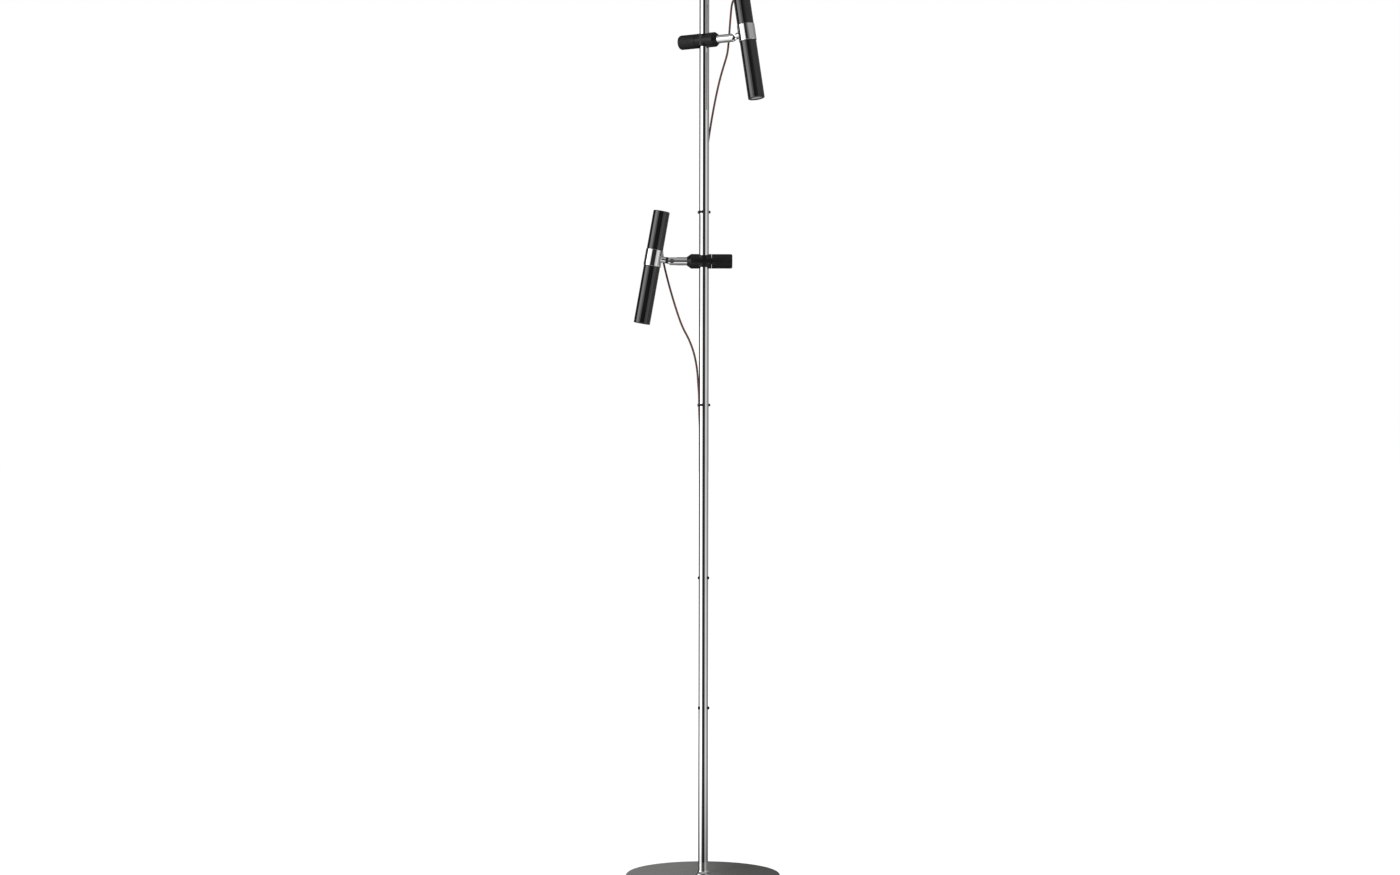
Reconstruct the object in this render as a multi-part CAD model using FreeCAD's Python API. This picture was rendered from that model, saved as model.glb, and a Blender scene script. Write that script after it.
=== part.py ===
import FreeCAD, Part
import math
import os

# Free-standing pole lamp with two spots. Millimetres, +Z up, +X to the right, +Y to the back.
# The origin is the centre of the base's underside, on the floor, and the pole stands on the Z axis.

# ---------------------------------------------------------------- driving dimensions
# Base
BASE_RADIUS = 150.0
BASE_HEIGHT = 16.0  # floor to the top of the cover
FELT_THICKNESS = 2.0
FELT_INSET = 4.0  # the felt stops this far inside the cover's edge
COVER_WALL = 1.2
COVER_EDGE_RADIUS = 5.0
SKIRT_GAP = 0.5  # between the skirt's lower edge and the felt's top
WEIGHT_SIDE_GAP = 0.3
POCKET_GAP = 0.3  # round the terminal block and the outlet's flange
NUT_ROOM = 1.5  # round the foot's washer

# Pole and its foot
POLE_RADIUS = 9.5
POLE_WALL = 1.5
POLE_TOP = 1754.0  # floor to the top of the cap
CAP_HEIGHT = 4.0
CAP_SPIGOT = 12.0
CAP_EDGE_RADIUS = 1.5
COLLAR_HEIGHT = 8.0
COLLAR_FOOT_RADIUS = 15.0
COLLAR_RIM = 0.75  # wall of the collar round the pole at its top
COLLAR_FLOOR = 2.0  # the pole stands on this
INSERT_LENGTH = 26.0
STUD_RADIUS = 5.0  # M10
NUT_FLATS = 17.0
NUT_HEIGHT = 5.0
WASHER_RADIUS = 10.0
WASHER_THICKNESS = 1.5
STUD_STANDS_PROUD = 0.4  # of the nut

# Fits
FIT = 0.05  # radial clearance of parts that turn, slide or push into each other
THREAD_FIT = 0.1  # radial clearance of parts that screw together
EDGE_BREAK = 0.5  # small bevel on the edges of turned parts

# Cords
CORD_RADIUS = 2.0
SLOT_PITCH = 4.3  # between the two cords in a clip

# Cable clips: height on the pole and how far each one is turned to the left of straight back
CLIP_HEIGHT = 5.0
CLIP_WALL = 1.2
CLIP_BEAD_RADIUS = 2.0
CLIP_MOUTH_HALF_ANGLE = 60.0
CLIP_BEAD_OFFSET = 1.3  # bead centre outside the pole's surface
CLIP_TOP = (POLE_TOP - 456.0, 40.0)
CLIP_UPPER = (POLE_TOP - 830.0, 40.0)
CLIP_LOWER = (589.0, 0.0)
CLIP_FOOT = (337.0, 8.0)

# Clamps, in arm coordinates: x runs outwards from the pole's axis, z is up
HUB_WALL = 3.3  # of the upright hub round the liner
HUB_HALF_HEIGHT = 11.5
HUB_BEVEL = 0.8
HUB_PROUD = 0.2  # of the barrel's side
BARREL_NOSE = 33.0  # from the pole's axis to the barrel's outer end
BARREL_CHAMFER = 8.0
NOSE_SHOULDER = 0.5  # the nose's face is this much wider than the arm
BARREL_BACK_STEP = 0.1  # from the hub's back to the face that meets the knob
NECK_RADIUS = 7.0
NECK_LENGTH = 19.5
NECK_GROOVE_RADIUS = 6.2
NECK_GROOVE_WIDTH = 2.0
LINER_WALL = 1.5
LINER_HALF_LENGTH = 7.5
LINER_SLIT = 1.6
SHOE_RADIUS = 5.0
SHOE_LENGTH = 6.5
SHOE_SEAT_GAP = 0.03  # between the shoe and the liner
SHOE_STEM_RADIUS = 3.0
SHOE_TRAVEL = 1.5  # back from the liner, in one and a half turns of the knob
SHOE_END_ROOM = 0.9  # left behind the shoe at the end of its travel
KNOB_RADIUS = 14.0
KNOB_LENGTH = 40.0
KNOB_GAP = 0.5  # between the knob and the barrel's back face
KNOB_CHAMFER = 2.5
KNOB_FLUTES = 20
KNOB_FLUTE_RADIUS = 2.2
KNOB_FLUTE_DEPTH = 0.4
KNOB_FLUTE_MARGIN = 5.0
INSERT_RADIUS = 9.5
INSERT_SINK = 0.3  # behind the knob's face
INSERT_END_WALL = 5.2  # with the thread for the shoe's stem
NECK_END_ROOM = 0.3  # between the neck's end and the insert's end wall

# Arm and hinge
ARM_RADIUS = 8.0
ARM_SPIGOT_RADIUS = 6.0
ARM_SPIGOT_LENGTH = 15.0
HINGE_FROM_POLE = 62.0
LUG_THICKNESS = 5.0
LUG_HALF_HEIGHT = 6.0
LUG_REACH = 36.6  # from the hinge to the head's axis
LUG_NECK_LENGTH = 7.0
FORK_WASHER = 0.5
FORK_DEPTH = 9.5  # slot behind the hinge
SCREW_RADIUS = 2.5
SCREW_HEAD_RADIUS = 4.2
SCREW_HEAD_HEIGHT = 2.3
SCREW_HEAD_SINK = 0.3  # below the arm's side
SCREW_HEAD_ROOM = 0.2
SCREW_TIP_SINK = 1.0
SCREW_SLOT = 1.0
RIVET_RADIUS = 3.5
HEAD_TILT = 10.0  # top of the head leans to the pole, degrees

# Head, in head coordinates: z runs along the tube, 0 at the middle of the band, +x away from the pole
TUBE_RADIUS = 16.0
TUBE_WALL = 2.5
BAND_PROUD = 1.0  # of the tubes
BAND_HEIGHT = 32.0
SPIGOT_WALL = 1.45
SPIGOT_LENGTH = 8.0
SPIGOT_END_ROOM = 0.2
LONG_TUBE = 113.0  # below the band, bezel included
SHORT_TUBE = 76.0  # above the band, cap included
END_RING = 5.5  # height of the bezel and of the cap
END_GROOVE = 0.6
END_GROOVE_DEPTH = 0.8
END_SPIGOT = 6.0
END_SPIGOT_WALL = 0.95  # of the tube's bore, where a cap or a bezel goes in
CAP_FACE = 2.0
CAP_WALL = 1.45
LENS_SIDE_ROOM = 0.5  # from the lens to the tube's bore
LENS_SEAT = 1.2
LENS_THICKNESS = 2.5
LENS_LIP = 1.5
STACK_GAP = 0.1  # between the pieces that lie on each other behind the lens
REFLECTOR_LENGTH = 18.0
REFLECTOR_WALL = 1.0
REFLECTOR_THROAT = 4.0
BOARD_SIDE_GAP = 0.3
BOARD_THICKNESS = 1.6
EMITTER_RADIUS = 3.0
SINK_LENGTH = 40.0
SINK_CORE = 6.0
SINK_FINS = 12
SINK_FIN_WIDTH = 1.4
SINK_PLATE = 3.0
SINK_SIDE_GAP = 0.2
GLAND_HEIGHT = 74.0  # above the middle of the band
GLAND_RADIUS = 4.5
GLAND_TIP_RADIUS = 3.0
GLAND_LENGTH = 8.0
GLAND_BORE_DEPTH = 5.0
GLAND_FOOT_HEIGHT = 2.5
GLAND_EXIT_RUN = 2.0  # the cord's straight run out of the gland
WIRE_RADIUS = 1.2
WIRE_ROOM = 0.7
WIRE_ROOM_DEPTH = 12.0

# Inside the base
BLOCK_WIDTH = 18.0
BLOCK_DEPTH = 10.0
BLOCK_HEIGHT = 9.0
ENTRY_BACK = 21.0  # from the pole's axis to the cords' hole in the cover
GROMMET_WALL = 1.6
GROMMET_FLANGE = 1.2
GROMMET_LIP = 1.2
LEAD_RADIUS = 3.0  # bore of the outlet for a mains lead
OUTLET_RADIUS = 4.2
OUTLET_FLANGE = 0.8
OUTLET_LENGTH = 5.0
OUTLET_HEIGHT = 7.5
CHANNEL_HALF_WIDTH = 5.0

# Where each lamp stands: height of its arm, its azimuth (0 is +X, counter-clockwise from above),
# and the azimuth of its cord gland
UPPER_LAMP = {"name": "upper", "height": POLE_TOP - 123.5, "azimuth": -34.0, "gland": 117.0}
LOWER_LAMP = {"name": "lower", "height": POLE_TOP - 551.5, "azimuth": 180.0, "gland": 90.0}

# ---------------------------------------------------------------- worked-out sizes
UP = FreeCAD.Vector(0, 0, 1)
OUT = FreeCAD.Vector(1, 0, 0)
SIDE = FreeCAD.Vector(0, 1, 0)
ORIGIN = FreeCAD.Vector(0, 0, 0)

COVER_UNDERSIDE = BASE_HEIGHT - COVER_WALL
POLE_FOOT = BASE_HEIGHT + COLLAR_FLOOR
POLE_END = POLE_TOP - CAP_HEIGHT
POLE_BORE = POLE_RADIUS - POLE_WALL
NUT_POCKET_TOP = FELT_THICKNESS + STUD_STANDS_PROUD + NUT_HEIGHT + WASHER_THICKNESS
LINER_BORE = POLE_RADIUS + FIT
LINER_RADIUS = LINER_BORE + LINER_WALL
CLAMP_BORE = LINER_RADIUS + FIT
HUB_RADIUS = CLAMP_BORE + HUB_WALL
BARREL_RADIUS = HUB_RADIUS - HUB_PROUD
BARREL_BACK = HUB_RADIUS + BARREL_BACK_STEP
NOSE_RADIUS = ARM_RADIUS + NOSE_SHOULDER
NECK_END = BARREL_BACK + NECK_LENGTH
NECK_GROOVE_END = BARREL_BACK + NECK_GROOVE_WIDTH
SHOE_FRONT = LINER_RADIUS + SHOE_SEAT_GAP
SHOE_BACK = SHOE_FRONT + SHOE_LENGTH
SHOE_SHOULDER = SHOE_BACK + SHOE_TRAVEL + SHOE_END_ROOM
KNOB_FACE = BARREL_BACK + KNOB_GAP
KNOB_END = KNOB_FACE + KNOB_LENGTH
INSERT_SHOULDER = NECK_END + NECK_END_ROOM
INSERT_END = INSERT_SHOULDER + INSERT_END_WALL
STEM_ROOM_END = INSERT_END + SHOE_TRAVEL + SHOE_END_ROOM
SLOT_HALF_WIDTH = LUG_THICKNESS / 2 + FORK_WASHER + 2 * FIT
CORD_SEAT = POLE_RADIUS + CORD_RADIUS + 0.1
TUBE_BORE = TUBE_RADIUS - TUBE_WALL
SPIGOT_RADIUS = TUBE_BORE + SPIGOT_WALL
BAND_RADIUS = TUBE_RADIUS + BAND_PROUD
BAND_HALF = BAND_HEIGHT / 2
LONG_END = -(BAND_HALF + LONG_TUBE)
SHORT_END = BAND_HALF + SHORT_TUBE
END_SPIGOT_RADIUS = TUBE_BORE + END_SPIGOT_WALL
LENS_RADIUS = TUBE_BORE - LENS_SIDE_ROOM
BEZEL_BORE = LENS_RADIUS - LENS_SEAT
BOARD_RADIUS = LENS_RADIUS - BOARD_SIDE_GAP
GLAND_TIP = TUBE_RADIUS + GLAND_LENGTH
LENS_FLOOR = LONG_END + LENS_LIP
REFLECTOR_MOUTH = LENS_FLOOR + LENS_THICKNESS + STACK_GAP
BOARD_FLOOR = REFLECTOR_MOUTH + REFLECTOR_LENGTH
SINK_FLOOR = BOARD_FLOOR + BOARD_THICKNESS


def at(x, y, z):
    return FreeCAD.Vector(x, y, z)


# ---------------------------------------------------------------- solids
def cylinder(radius, start, length, direction=UP):
    return Part.makeCylinder(radius, length, start, direction)


def tube(outer, inner, bottom, top):
    """An upright tube on the Z axis, open at both ends."""
    return cylinder(outer, at(0, 0, bottom), top - bottom).cut(cylinder(inner, at(0, 0, bottom), top - bottom))


def block(low, high):
    """A box between two corners."""
    size = [b - a for a, b in zip(low, high)]
    return Part.makeBox(size[0], size[1], size[2], at(*low))


def turned(outline, axis=UP):
    """A solid turned round the given axis from its outline of (distance along the axis, radius) points."""
    across = OUT if axis == UP else UP
    points = [axis * along + across * radius for along, radius in outline]
    face = Part.Face(Part.makePolygon(points + points[:1]))
    return face.revolve(ORIGIN, axis, 360)


def prism(outline, direction):
    """A solid from a closed polygon of points, pushed along a vector."""
    return Part.Face(Part.makePolygon(outline + outline[:1])).extrude(direction)


def hexagon(flats, bottom, top):
    reach = flats / math.sqrt(3)
    corners = [at(reach * math.cos(a), reach * math.sin(a), bottom) for a in sixths()]
    return prism(corners, UP * (top - bottom))


def sixths():
    return [math.radians(60 * i) for i in range(6)]


def turn_about_z(shape, degrees):
    out = shape.copy()
    out.rotate(ORIGIN, UP, degrees)
    return out


def moved(shape, x=0.0, y=0.0, z=0.0):
    out = shape.copy()
    out.translate(at(x, y, z))
    return out


def rounded(shape, radius, picks):
    """The shape with the edges that picks(edge) names rounded."""
    return shape.makeFillet(radius, [e for e in shape.Edges if picks(e)])


def circle_at(height, radius):
    """Names the full circle of a turned solid at that height and radius."""

    def picks(edge):
        box = edge.BoundBox
        flat = abs(box.ZMin - height) < 1e-6 and abs(box.ZMax - height) < 1e-6
        return flat and abs(box.XMax - radius) < 1e-6 and abs(box.XMin + radius) < 1e-6

    return picks


def write(name, *solids):
    """One file for a node, with one or more separate solids."""
    shape = solids[0] if len(solids) == 1 else Part.makeCompound(list(solids))
    shape.exportStep("parts/" + name + ".step")


# ---------------------------------------------------------------- cords
def cord(name, points, radius=CORD_RADIUS):
    """A round cord along straight runs joined by arcs that touch both runs, as large as the runs allow."""
    points = [at(*p) for p in points]
    edges = []
    start = points[0]
    radii = []
    for before, corner, after in zip(points, points[1:], points[2:]):
        back = before - corner
        ahead = after - corner
        shorter = min(back.Length, ahead.Length)
        turn = math.pi - back.getAngle(ahead)
        trim = 0.45 * shorter
        radii.append(trim / math.tan(turn / 2))
        back.normalize()
        ahead.normalize()
        enter = corner + back * trim
        leave = corner + ahead * trim
        bisector = back + ahead
        bisector.normalize()
        to_centre = radii[-1] / math.cos(turn / 2)
        middle = corner + bisector * (to_centre - radii[-1])
        edges.append(Part.LineSegment(start, enter).toShape())
        edges.append(Part.Arc(enter, middle, leave).toShape())
        start = leave
    edges.append(Part.LineSegment(start, points[-1]).toShape())
    path = Part.Wire(edges)
    section = Part.Wire(Part.Circle(points[0], points[1] - points[0], radius).toShape())
    solid = path.makePipeShell([section], True, False)
    expected = math.pi * radius**2 * path.Length
    print(
        f"{name}: {path.Length:.0f} mm, smallest bend {min(radii):.0f} mm "
        f"({min(radii) / (2 * radius):.1f} diameters), volume {solid.Volume / expected:.4f} of section x length"
    )
    return solid


def beside_pole(angle, radius, height):
    """A point beside the pole, at an angle to the left of straight back."""
    a = math.radians(angle)
    return (-radius * math.sin(a), radius * math.cos(a), height)


def in_clip(clip, slot):
    """The middle of a cord in a clip: slot is -1 for the left one, +1 for the right one, 0 for a cord alone."""
    height, angle = clip
    a = math.radians(angle)
    x, y = slot * SLOT_PITCH / 2, CORD_SEAT
    return (x * math.cos(a) - y * math.sin(a), x * math.sin(a) + y * math.cos(a), height)


def above(point, rise):
    return (point[0], point[1], point[2] + rise)


def from_top(*points):
    """Points whose heights are measured from the pole's top."""
    return [above(point, POLE_TOP) for point in points]


# ---------------------------------------------------------------- base
def base_cover():
    """Spun steel cover: a flat top with a rolled edge and a short skirt."""
    skirt = FELT_THICKNESS + SKIRT_GAP
    outer = cylinder(BASE_RADIUS, at(0, 0, skirt), BASE_HEIGHT - skirt)
    outer = rounded(outer, COVER_EDGE_RADIUS, circle_at(BASE_HEIGHT, BASE_RADIUS))
    inner_radius = BASE_RADIUS - COVER_WALL
    inner = cylinder(inner_radius, at(0, 0, skirt), COVER_UNDERSIDE - skirt)
    inner = rounded(inner, COVER_EDGE_RADIUS - COVER_WALL, circle_at(COVER_UNDERSIDE, inner_radius))
    cover = outer.cut(inner)
    cover = cover.cut(cylinder(STUD_RADIUS + THREAD_FIT, at(0, 0, COVER_UNDERSIDE - 1), COVER_WALL + 2))
    cover = cover.cut(two_cord_hole(GROMMET_WALL + CORD_RADIUS + FIT, COVER_UNDERSIDE - 1, BASE_HEIGHT + 1))
    outlet = cylinder(OUTLET_RADIUS + FIT, at(0, inner_radius - 5, OUTLET_HEIGHT), 10, SIDE)
    return cover.cut(outlet)


def two_cord_hole(radius, bottom, top):
    """An upright slot with round ends, centred on the two cords behind the pole."""
    ends = [cylinder(radius, at(s * SLOT_PITCH / 2, ENTRY_BACK, bottom), top - bottom) for s in (-1, 1)]
    low = (-SLOT_PITCH / 2, ENTRY_BACK - radius, bottom)
    high = (SLOT_PITCH / 2, ENTRY_BACK + radius, top)
    return ends[0].fuse([ends[1], block(low, high)]).removeSplitter()


def base_weight():
    """Cast-iron disc with a pocket for the nut, one for the terminal block and a channel to the back edge."""
    radius = BASE_RADIUS - COVER_WALL - WEIGHT_SIDE_GAP
    weight = cylinder(radius, at(0, 0, FELT_THICKNESS), COVER_UNDERSIDE - FELT_THICKNESS)
    weight = rounded(weight, COVER_EDGE_RADIUS, circle_at(COVER_UNDERSIDE, radius))
    stud_hole = cylinder(STUD_RADIUS + THREAD_FIT, at(0, 0, 0), BASE_HEIGHT)
    nut_pocket = cylinder(WASHER_RADIUS + NUT_ROOM, at(0, 0, 0), NUT_POCKET_TOP)
    half = BLOCK_WIDTH / 2 + POCKET_GAP
    deep = BLOCK_DEPTH / 2 + POCKET_GAP
    block_pocket = block((-half, ENTRY_BACK - deep, 0), (half, ENTRY_BACK + deep, BASE_HEIGHT))
    channel_top = OUTLET_HEIGHT + LEAD_RADIUS + POCKET_GAP
    channel = block((-CHANNEL_HALF_WIDTH, ENTRY_BACK, 0), (CHANNEL_HALF_WIDTH, BASE_RADIUS, channel_top))
    mouth_half = OUTLET_RADIUS + OUTLET_FLANGE + POCKET_GAP
    mouth = block((-mouth_half, radius - OUTLET_LENGTH, 0), (mouth_half, BASE_RADIUS, OUTLET_HEIGHT + mouth_half))
    return weight.cut([stud_hole, nut_pocket, block_pocket, channel, mouth])


def foot_collar():
    """Turned collar that flares from the pole to the cover, with a floor that the pole stands on."""
    top = BASE_HEIGHT + COLLAR_HEIGHT
    rim = POLE_RADIUS + COLLAR_RIM
    flare = Part.Arc(
        at(COLLAR_FOOT_RADIUS, 0, BASE_HEIGHT + 1),
        at(rim + 1.3, 0, BASE_HEIGHT + 3),
        at(rim, 0, top),
    ).toShape()
    corners = [at(rim, 0, top), at(0, 0, top), at(0, 0, BASE_HEIGHT), at(COLLAR_FOOT_RADIUS, 0, BASE_HEIGHT)]
    corners.append(at(COLLAR_FOOT_RADIUS, 0, BASE_HEIGHT + 1))
    sides = [Part.LineSegment(a, b).toShape() for a, b in zip(corners, corners[1:])]
    solid = Part.Face(Part.Wire([flare] + sides)).revolve(ORIGIN, UP, 360)
    solid = solid.cut(cylinder(POLE_RADIUS + FIT, at(0, 0, POLE_FOOT), COLLAR_HEIGHT))
    return solid.cut(cylinder(STUD_RADIUS + THREAD_FIT, at(0, 0, BASE_HEIGHT - 1), COLLAR_HEIGHT))


def pole_top_cap():
    """Plug for the pole's open top, with a rounded head."""
    cap = cylinder(POLE_RADIUS, at(0, 0, POLE_END), CAP_HEIGHT)
    cap = rounded(cap, CAP_EDGE_RADIUS, circle_at(POLE_TOP, POLE_RADIUS))
    return cap.fuse(cylinder(POLE_BORE - FIT, at(0, 0, POLE_END - CAP_SPIGOT), CAP_SPIGOT)).removeSplitter()


def cable_clip(clip):
    """A snap clip: a thin C round the pole with beads at its mouth, and a pocket for two cords at its back."""
    height, angle = clip
    low = -CLIP_HEIGHT / 2
    high = CLIP_HEIGHT / 2
    ring = cylinder(POLE_RADIUS + CLIP_WALL, at(0, 0, low), CLIP_HEIGHT)
    reach = 3 * POLE_RADIUS
    wide = reach * math.tan(math.radians(CLIP_MOUTH_HALF_ANGLE))
    mouth = prism([at(0, 0, low), at(-wide, -reach, low), at(wide, -reach, low)], UP * CLIP_HEIGHT)
    pocket = cylinder(CORD_RADIUS + FIT + CLIP_WALL, at(-SLOT_PITCH / 2, CORD_SEAT, low), CLIP_HEIGHT)
    pocket = pocket.fuse(moved(pocket, x=SLOT_PITCH))
    wall_back = CORD_SEAT + CORD_RADIUS + FIT + CLIP_WALL
    pocket = pocket.fuse(block((-SLOT_PITCH / 2, CORD_SEAT - CORD_RADIUS, low), (SLOT_PITCH / 2, wall_back, high)))
    inner = cylinder(CORD_RADIUS + FIT, at(-SLOT_PITCH / 2, CORD_SEAT, low), CLIP_HEIGHT)
    inner = inner.fuse(moved(inner, x=SLOT_PITCH))
    floor_back = CORD_SEAT + CORD_RADIUS + FIT
    inner = inner.fuse(block((-SLOT_PITCH / 2, 0, low), (SLOT_PITCH / 2, floor_back, high)))
    clip_solid = ring.cut(mouth).fuse(pocket).cut(inner)
    a = math.radians(CLIP_MOUTH_HALF_ANGLE)
    out = POLE_RADIUS + CLIP_BEAD_OFFSET
    for side in (-1, 1):
        bead = cylinder(CLIP_BEAD_RADIUS, at(side * out * math.sin(a), -out * math.cos(a), low), CLIP_HEIGHT)
        clip_solid = clip_solid.fuse(bead)
    clip_solid = clip_solid.cut(cylinder(POLE_RADIUS + FIT, at(0, 0, low), CLIP_HEIGHT)).removeSplitter()
    return moved(turn_about_z(clip_solid, angle), z=height)


def base_grommet():
    """Rubber grommet in the cover for the two cords."""
    neck = GROMMET_WALL + CORD_RADIUS
    flange = neck + GROMMET_FLANGE
    body = two_cord_hole(neck, COVER_UNDERSIDE - GROMMET_LIP, BASE_HEIGHT + GROMMET_LIP)
    body = body.fuse(two_cord_hole(flange, BASE_HEIGHT, BASE_HEIGHT + GROMMET_LIP))
    for side in (-1, 1):
        bore = cylinder(CORD_RADIUS + FIT, at(side * SLOT_PITCH / 2, ENTRY_BACK, 0), 2 * BASE_HEIGHT)
        body = body.cut(bore)
    return body.removeSplitter()


def outlet_gland():
    """Rubber outlet for the mains lead in the skirt at the back."""
    end = BASE_RADIUS - WEIGHT_SIDE_GAP
    start = at(0, end - OUTLET_LENGTH, OUTLET_HEIGHT)
    flange_length = OUTLET_LENGTH - COVER_WALL - 2 * WEIGHT_SIDE_GAP
    flange = cylinder(OUTLET_RADIUS + OUTLET_FLANGE, start, flange_length, SIDE)
    neck = cylinder(OUTLET_RADIUS, start, OUTLET_LENGTH, SIDE)
    bore = cylinder(LEAD_RADIUS, start, OUTLET_LENGTH, SIDE)
    return flange.fuse(neck).cut(bore).removeSplitter()


def terminal_block():
    half = BLOCK_WIDTH / 2
    deep = BLOCK_DEPTH / 2
    body = block(
        (-half, ENTRY_BACK - deep, FELT_THICKNESS),
        (half, ENTRY_BACK + deep, FELT_THICKNESS + BLOCK_HEIGHT),
    )
    lead_hole = cylinder(LEAD_RADIUS / 2, at(0, ENTRY_BACK, OUTLET_HEIGHT - 2), BLOCK_DEPTH, SIDE)
    return body.cut(lead_hole)


def write_base():
    write("base_felt_pad", cylinder(BASE_RADIUS - FELT_INSET, ORIGIN, FELT_THICKNESS))
    write("base_weight", base_weight())
    write("base_cover", base_cover())
    nut_floor = FELT_THICKNESS + STUD_STANDS_PROUD
    nut_top = nut_floor + NUT_HEIGHT
    hole = cylinder(STUD_RADIUS + THREAD_FIT, at(0, 0, 0), BASE_HEIGHT)
    write("foot_nut", hexagon(NUT_FLATS, nut_floor, nut_top).cut(hole))
    washer = cylinder(WASHER_RADIUS, at(0, 0, NUT_POCKET_TOP - WASHER_THICKNESS), WASHER_THICKNESS)
    write("foot_washer", washer.cut(hole))
    stud_floor = FELT_THICKNESS + 0.1
    write("foot_stud", cylinder(STUD_RADIUS, at(0, 0, stud_floor), POLE_FOOT + INSERT_LENGTH - 1 - stud_floor))
    write("foot_collar", foot_collar())
    write("base_grommet", base_grommet())
    write("outlet_gland", outlet_gland())
    write("terminal_block", terminal_block())


def write_pole():
    write("pole", tube(POLE_RADIUS, POLE_BORE, POLE_FOOT, POLE_END))
    write("pole_insert", tube(POLE_BORE - FIT, STUD_RADIUS + THREAD_FIT, POLE_FOOT, POLE_FOOT + INSERT_LENGTH))
    write("pole_top_cap", pole_top_cap())
    clips = [cable_clip(c) for c in (CLIP_TOP, CLIP_UPPER, CLIP_LOWER, CLIP_FOOT)]
    write("cable_clips", *clips)


# ---------------------------------------------------------------- clamp and knob, in arm coordinates
def liner():
    """Split sleeve between the pole and the clamp."""
    sleeve = tube(LINER_RADIUS, LINER_BORE, -LINER_HALF_LENGTH, LINER_HALF_LENGTH)
    slit = block((0, -LINER_SLIT / 2, -LINER_HALF_LENGTH), (2 * LINER_RADIUS, LINER_SLIT / 2, LINER_HALF_LENGTH))
    return sleeve.cut(slit)


def clamp_body():
    """Black barrel across the pole with an upright hub, a chamfered nose for the arm and a neck for the knob."""
    outline = [
        (-NECK_END, 0),
        (-NECK_END, NECK_RADIUS - EDGE_BREAK),
        (-NECK_END + EDGE_BREAK, NECK_RADIUS),
        (-NECK_GROOVE_END, NECK_RADIUS),
        (-NECK_GROOVE_END, NECK_GROOVE_RADIUS),
        (-BARREL_BACK, NECK_GROOVE_RADIUS),
        (-BARREL_BACK, BARREL_RADIUS - EDGE_BREAK),
        (-BARREL_BACK + EDGE_BREAK, BARREL_RADIUS),
        (BARREL_NOSE - BARREL_CHAMFER, BARREL_RADIUS),
        (BARREL_NOSE, NOSE_RADIUS),
        (BARREL_NOSE, 0),
    ]
    barrel = turned(outline, OUT)
    hub_outline = [
        (-HUB_HALF_HEIGHT, 0),
        (-HUB_HALF_HEIGHT, HUB_RADIUS - HUB_BEVEL),
        (-HUB_HALF_HEIGHT + HUB_BEVEL, HUB_RADIUS),
        (HUB_HALF_HEIGHT - HUB_BEVEL, HUB_RADIUS),
        (HUB_HALF_HEIGHT, HUB_RADIUS - HUB_BEVEL),
        (HUB_HALF_HEIGHT, 0),
    ]
    body = barrel.fuse(turned(hub_outline))
    pole_bore = cylinder(CLAMP_BORE, at(0, 0, -HUB_RADIUS), 2 * HUB_RADIUS)
    arm_seat = BARREL_NOSE - ARM_SPIGOT_LENGTH
    arm_bore = cylinder(ARM_SPIGOT_RADIUS + THREAD_FIT, at(arm_seat, 0, 0), BARREL_NOSE, OUT)
    shoe_bore = cylinder(SHOE_RADIUS + FIT, at(-SHOE_SHOULDER, 0, 0), SHOE_SHOULDER, OUT)
    stem_bore = cylinder(SHOE_STEM_RADIUS + FIT, at(-2 * NECK_END, 0, 0), 2 * NECK_END, OUT)
    return body.cut([pole_bore, arm_bore, shoe_bore, stem_bore])


def shoe():
    """Brass shoe with a hollow nose that fits the liner, and a screwed stem that the knob draws back."""
    nose = cylinder(SHOE_RADIUS, at(-SHOE_BACK, 0, 0), SHOE_BACK, OUT)
    stem = cylinder(SHOE_STEM_RADIUS, at(-INSERT_END, 0, 0), INSERT_END - SHOE_FRONT, OUT)
    hollow = cylinder(SHOE_FRONT, at(0, 0, -2 * SHOE_RADIUS), 4 * SHOE_RADIUS)
    return nose.fuse(stem).cut(hollow).removeSplitter()


def knob():
    """Fluted grip, hollow for the insert and for the end of the shoe's stem."""
    outline = [
        (-KNOB_END, 0),
        (-KNOB_END, KNOB_RADIUS - KNOB_CHAMFER),
        (-KNOB_END + 0.3 * KNOB_CHAMFER, KNOB_RADIUS - 0.35 * KNOB_CHAMFER),
        (-KNOB_END + KNOB_CHAMFER, KNOB_RADIUS),
        (-KNOB_FACE - EDGE_BREAK, KNOB_RADIUS),
        (-KNOB_FACE, KNOB_RADIUS - EDGE_BREAK),
        (-KNOB_FACE, 0),
    ]
    grip = turned(outline, OUT)
    insert_room = cylinder(INSERT_RADIUS + FIT, at(-INSERT_END, 0, 0), INSERT_END, OUT)
    stem_room = cylinder(SHOE_STEM_RADIUS + SHOE_END_ROOM, at(-STEM_ROOM_END, 0, 0), STEM_ROOM_END, OUT)
    grip = grip.cut([insert_room, stem_room])
    flute_start = -KNOB_END + KNOB_FLUTE_MARGIN
    flute_length = KNOB_LENGTH - 2 * KNOB_FLUTE_MARGIN
    out = KNOB_RADIUS + KNOB_FLUTE_RADIUS - KNOB_FLUTE_DEPTH
    flutes = []
    for i in range(KNOB_FLUTES):
        a = 2 * math.pi * i / KNOB_FLUTES
        start = at(flute_start, out * math.cos(a), out * math.sin(a))
        flutes.append(cylinder(KNOB_FLUTE_RADIUS, start, flute_length, OUT))
    return grip.cut(flutes)


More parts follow.
